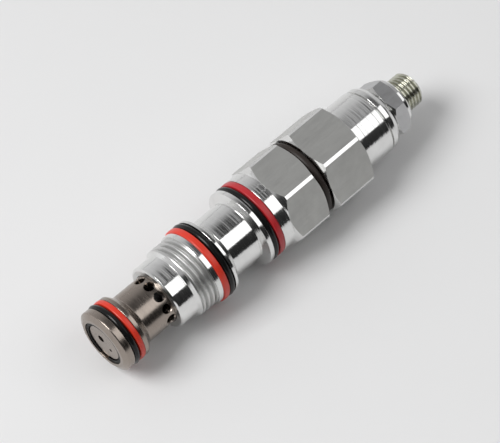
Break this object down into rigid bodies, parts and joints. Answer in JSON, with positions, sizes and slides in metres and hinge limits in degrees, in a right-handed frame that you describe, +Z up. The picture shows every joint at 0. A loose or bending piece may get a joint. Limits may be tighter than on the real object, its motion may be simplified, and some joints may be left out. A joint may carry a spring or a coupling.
{
  "type": "cartridge valve",
  "caption": "Screw-in three-port counterbalance cartridge valve: threaded hex body, ported nose sleeve, O-rings with red backup rings, adjusting screw and lock nut.",
  "frame": {"origin": "on the valve's axis at the locating shoulder, the front face of the land between the thread and the middle seal", "axes": "+X along the axis from the nose to the adjusting screw; +Z up, square to the hex flat that the valve lies on; +Y completes the right-handed frame"},
  "size_m": [0.1066, 0.0252, 0.0222],
  "materials": {
    "zinc_plate": "bright zinc plate on turned steel, satin on the milled flats",
    "sleeve_steel": "hardened steel with a warm grey surface",
    "seal_rubber": "smooth black nitrile rubber",
    "vent_rubber": "dull dark brown rubber",
    "backup_red": "red polyester elastomer",
    "black_oxide": "black oxide on spring steel",
    "spring_steel": "drawn spring wire",
    "ground_steel": "ground steel",
    "yellow_zinc": "zinc plate with a faint yellow passivation",
    "nut_zinc": "satin zinc plate"
  },
  "bodies": {
    "housing": {"valve_body": "zinc_plate", "nose_sleeve": "sleeve_steel", "nose_o_ring": "seal_rubber", "nose_backup_ring": "backup_red", "nose_retaining_ring": "black_oxide", "check_spring_retainer": "sleeve_steel", "check_spring": "spring_steel", "sleeve_o_ring": "seal_rubber", "middle_backup_ring": "backup_red", "middle_o_ring": "seal_rubber", "upper_o_ring": "seal_rubber", "upper_backup_ring": "backup_red", "vent_ring": "vent_rubber", "piston_o_ring": "seal_rubber", "pilot_gland": "ground_steel", "gland_o_ring": "seal_rubber", "gland_backup_ring": "backup_red", "main_spring": "spring_steel", "top_cap": "zinc_plate"},
    "check": {"check_seat": "ground_steel"},
    "piston": {"relief_piston": "ground_steel", "lower_spring_seat": "ground_steel"},
    "upper_seat": {"upper_spring_seat": "ground_steel"},
    "screw": {"adjusting_screw": "yellow_zinc", "screw_stop_ring": "black_oxide"},
    "nut": {"lock_nut": "nut_zinc"}
  },
  "joints": [
    {"name": "check_open", "type": "slide", "parent": "housing", "child": "check", "axis": [-1, 0, 0], "range_m": [0, 0.0025], "stiffness_N_per_m": 500, "deforming": ["check_spring"]},
    {"name": "piston_lift", "type": "slide", "parent": "housing", "child": "piston", "axis": [1, 0, 0], "range_m": [0, 0.0018], "stiffness_N_per_m": 20000, "deforming": ["main_spring"]},
    {"name": "screw_feed", "type": "slide", "parent": "housing", "child": "upper_seat", "axis": [1, 0, 0], "range_m": [-0.00317, 0.00212], "deforming": ["main_spring"]},
    {"name": "screw_turn", "type": "hinge", "parent": "upper_seat", "child": "screw", "pos_m": [0.0776, 0, 0], "axis": [1, 0, 0], "range_deg": [-1081, 721]},
    {"name": "nut_turn", "type": "hinge", "parent": "housing", "child": "nut", "pos_m": [0.0686, 0, 0], "axis": [1, 0, 0], "range_deg": [0, 360]}
  ],
  "couplings": [
    {"joint": "screw_turn", "follows": "screw_feed", "rad_per_m": 5936.9}
  ]
}
